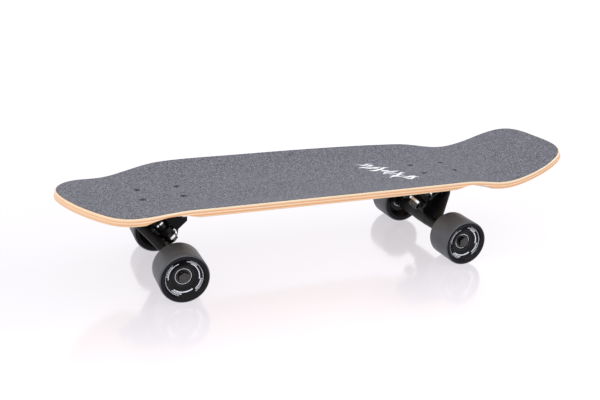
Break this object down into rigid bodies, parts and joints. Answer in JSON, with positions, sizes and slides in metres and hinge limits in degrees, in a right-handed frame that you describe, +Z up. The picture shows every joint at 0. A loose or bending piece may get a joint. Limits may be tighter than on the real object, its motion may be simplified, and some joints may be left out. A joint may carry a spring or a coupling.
{
  "type": "surf cruiser skateboard",
  "caption": "Wooden cruiser skateboard with a concave deck, kick tail, grip sheet and two sprung steering trucks on dark urethane wheels.",
  "frame": {"origin": "on the floor under the middle of the deck's length", "axes": "+X towards the kick tail, +Y across the deck to the rider's right, +Z up"},
  "size_m": [0.7462, 0.2314, 0.1488],
  "materials": {
    "maple_ply": "clear-lacquered maple plies with peach-orange dyed plies between pale ones",
    "grip": "mid-grey gritty grip sheet with a fine bright speckle",
    "black_urethane": "matt black",
    "black_steel": "black oxide, satin",
    "zinc_steel": "bright zinc",
    "black_coat": "black powder coat, satin",
    "bushing_urethane": "dark urethane, satin",
    "chrome_hardware": "polished",
    "bearing_steel": "ground and polished",
    "bearing_shield": "moulded dark seal",
    "wheel_urethane": "satin black cast urethane",
    "core_plastic": "dark nylon"
  },
  "bodies": {
    "board": {"deck": "maple_ply", "grip_tape": "grip", "riser_pad_front": "black_urethane", "deck_bolts_front": "black_steel", "lock_nuts_front": "zinc_steel", "baseplate_front": "black_coat", "pivot_cup_front": "bushing_urethane", "kingpin_front": "chrome_hardware", "kingpin_nut_front": "chrome_hardware", "cup_washer_boardside_front": "chrome_hardware", "cup_washer_roadside_front": "chrome_hardware", "bushing_boardside_front": "bushing_urethane", "bushing_roadside_front": "bushing_urethane", "riser_pad_rear": "black_urethane", "deck_bolts_rear": "black_steel", "lock_nuts_rear": "zinc_steel", "baseplate_rear": "black_coat", "pivot_cup_rear": "bushing_urethane", "kingpin_rear": "chrome_hardware", "kingpin_nut_rear": "chrome_hardware", "cup_washer_boardside_rear": "chrome_hardware", "cup_washer_roadside_rear": "chrome_hardware", "bushing_boardside_rear": "bushing_urethane", "bushing_roadside_rear": "bushing_urethane"},
    "truck_front": {"hanger_front": "black_coat", "axle_front": "zinc_steel", "axle_nuts_front": "zinc_steel", "speed_washers_front": "zinc_steel", "bearing_inner_rings_front": "bearing_steel", "bearing_spacers_front": "zinc_steel"},
    "truck_rear": {"hanger_rear": "black_coat", "axle_rear": "zinc_steel", "axle_nuts_rear": "zinc_steel", "speed_washers_rear": "zinc_steel", "bearing_inner_rings_rear": "bearing_steel", "bearing_spacers_rear": "zinc_steel"},
    "wheel_front_left": {"tyre_front_left": "wheel_urethane", "wheel_core_front_left": "core_plastic", "bearing_outer_rings_front_left": "bearing_steel", "bearing_seals_front_left": "bearing_shield", "bearing_balls_front_left": "bearing_steel"},
    "wheel_front_right": {"tyre_front_right": "wheel_urethane", "wheel_core_front_right": "core_plastic", "bearing_outer_rings_front_right": "bearing_steel", "bearing_seals_front_right": "bearing_shield", "bearing_balls_front_right": "bearing_steel"},
    "wheel_rear_left": {"tyre_rear_left": "wheel_urethane", "wheel_core_rear_left": "core_plastic", "bearing_outer_rings_rear_left": "bearing_steel", "bearing_seals_rear_left": "bearing_shield", "bearing_balls_rear_left": "bearing_steel"},
    "wheel_rear_right": {"tyre_rear_right": "wheel_urethane", "wheel_core_rear_right": "core_plastic", "bearing_outer_rings_rear_right": "bearing_steel", "bearing_seals_rear_right": "bearing_shield", "bearing_balls_rear_right": "bearing_steel"}
  },
  "joints": [
    {"name": "steer_front", "type": "hinge", "parent": "board", "child": "truck_front", "pos_m": [-0.27765, 0, 0.08], "axis": [-0.9049, 0, 0.4256], "range_deg": [-12, 12], "stiffness_Nm_per_rad": 35, "deforming": ["bushing_boardside_front", "bushing_roadside_front"]},
    {"name": "steer_rear", "type": "hinge", "parent": "board", "child": "truck_rear", "pos_m": [0.21735, 0, 0.083], "axis": [0.9564, 0, 0.292], "range_deg": [-12, 12], "stiffness_Nm_per_rad": 35, "deforming": ["bushing_boardside_rear", "bushing_roadside_rear"]},
    {"name": "roll_front_left", "type": "hinge", "parent": "truck_front", "child": "wheel_front_left", "pos_m": [-0.2314, -0.0865, 0.0325], "axis": [0, 1, 0], "continuous": true},
    {"name": "roll_front_right", "type": "hinge", "parent": "truck_front", "child": "wheel_front_right", "pos_m": [-0.2314, 0.0865, 0.0325], "axis": [0, 1, 0], "continuous": true},
    {"name": "roll_rear_left", "type": "hinge", "parent": "truck_rear", "child": "wheel_rear_left", "pos_m": [0.1761, -0.0927, 0.0325], "axis": [0, 1, 0], "continuous": true},
    {"name": "roll_rear_right", "type": "hinge", "parent": "truck_rear", "child": "wheel_rear_right", "pos_m": [0.1761, 0.0927, 0.0325], "axis": [0, 1, 0], "continuous": true}
  ]
}
